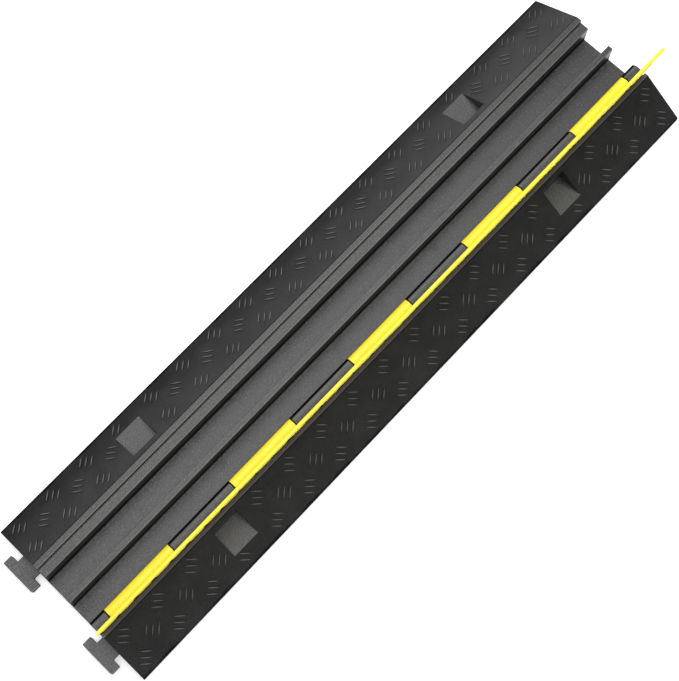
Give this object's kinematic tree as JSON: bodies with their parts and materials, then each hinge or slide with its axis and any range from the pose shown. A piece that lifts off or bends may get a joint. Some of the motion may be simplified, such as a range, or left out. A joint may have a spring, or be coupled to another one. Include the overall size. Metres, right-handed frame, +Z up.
{
  "type": "floor cord cover",
  "caption": "Low rubber ramp with open cable channels, raised-tread slopes, interlocking tongues and sockets, and a long hinged lid standing open.",
  "frame": {"origin": "bottom centre of the part's box, on the level floor", "axes": "+X along the cable channels from the tongue end to the socket end, +Y towards the side away from the hinge, +Z up"},
  "size_m": [1.0222, 0.252, 0.1344],
  "materials": {
    "ramp_rubber": "matte moulded rubber with a fine pebbled grain",
    "lid_plastic": "moulded yellow plastic with a soft sheen",
    "rod_steel": "drawn steel rod"
  },
  "bodies": {
    "base": {"ramp_body": "ramp_rubber", "hinge_rod": "rod_steel"},
    "lid": {"lid": "lid_plastic"}
  },
  "joints": [
    {"name": "lid_hinge", "type": "hinge", "parent": "base", "child": "lid", "pos_m": [0, -0.0457, 0.039], "axis": [1, 0, 0], "range_deg": [-97.9, 0]}
  ]
}
